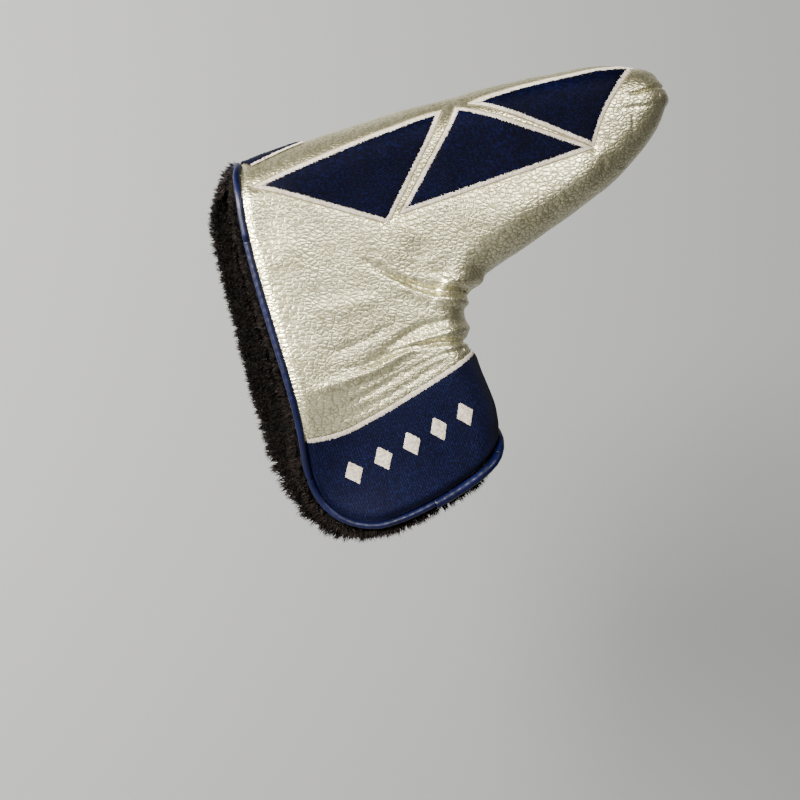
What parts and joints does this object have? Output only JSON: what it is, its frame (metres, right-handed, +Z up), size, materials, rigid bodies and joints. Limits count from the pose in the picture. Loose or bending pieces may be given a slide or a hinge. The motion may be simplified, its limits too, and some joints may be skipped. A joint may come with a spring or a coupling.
{
  "type": "putter head cover",
  "caption": "Boot-shaped soft cover for a blade putter head, padded and plush lined, with two flaps that fold open to let the head in.",
  "frame": {"origin": "on the shaft's axis at the bottom edge of the neck", "axes": "+Z up along the shaft towards the head, +X from heel to toe, -Y out of the front panel"},
  "size_m": [0.185, 0.0454, 0.1907],
  "materials": {
    "gold_leather": "pale champagne gold grained synthetic leather with a soft metallic sheen",
    "navy_thread": "dense navy embroidery with a satin sheen",
    "navy_band": "navy woven twill",
    "cream_thread": "cream satin stitch",
    "navy_piping": "smooth navy synthetic leather, satin",
    "piping_cord": "twisted cotton filler cord",
    "plush": "dark brown deep pile plush",
    "foam": "open cell foam interlining",
    "loop_strip": "brushed loop tape",
    "hook_strip": "moulded hook tape"
  },
  "bodies": {
    "pouch": {"outer_leather": "gold_leather", "foam_interlining": "foam", "plush_lining": "plush", "front_heel_triangle": "navy_thread", "front_middle_triangle": "navy_thread", "front_toe_triangle": "navy_thread", "rear_heel_triangle": "navy_thread", "rear_middle_triangle": "navy_thread", "rear_toe_triangle": "navy_thread", "front_heel_border": "cream_thread", "front_middle_border": "cream_thread", "front_toe_border": "cream_thread", "rear_heel_border": "cream_thread", "rear_middle_border": "cream_thread", "rear_toe_border": "cream_thread", "heel_patch": "navy_thread", "heel_patch_border": "cream_thread", "front_band_corner": "navy_band", "rear_band_corner": "navy_band", "front_corner_border": "cream_thread", "rear_corner_border": "cream_thread", "heel_piping": "navy_piping", "heel_piping_cord": "piping_cord", "corner_piping": "navy_piping", "corner_piping_cord": "piping_cord"},
    "front_flap": {"front_flap_leather": "gold_leather", "front_flap_foam": "foam", "front_flap_plush": "plush", "front_band": "navy_band", "front_band_border": "cream_thread", "front_lozenges": "cream_thread", "front_piping": "navy_piping", "front_piping_cord": "piping_cord", "front_wide_piping": "navy_piping", "front_wide_piping_cord": "piping_cord", "loop_strip": "loop_strip"},
    "rear_flap": {"rear_flap_leather": "gold_leather", "rear_flap_foam": "foam", "rear_flap_plush": "plush", "rear_band": "navy_band", "rear_band_border": "cream_thread", "rear_piping": "navy_piping", "rear_piping_cord": "piping_cord", "hook_strip": "hook_strip"}
  },
  "joints": [
    {"name": "front_flap_fold", "type": "hinge", "parent": "pouch", "child": "front_flap", "pos_m": [-0.06245, -0.023, 0.1076], "axis": [-0.8248, 0, 0.5654], "range_deg": [0, 40], "stiffness_Nm_per_rad": 0.03, "springref_deg": -34.38},
    {"name": "rear_flap_fold", "type": "hinge", "parent": "pouch", "child": "rear_flap", "pos_m": [-0.06245, 0.023, 0.1076], "axis": [0.8248, 0, -0.5654], "range_deg": [0, 40], "stiffness_Nm_per_rad": 0.03, "springref_deg": -34.38}
  ]
}
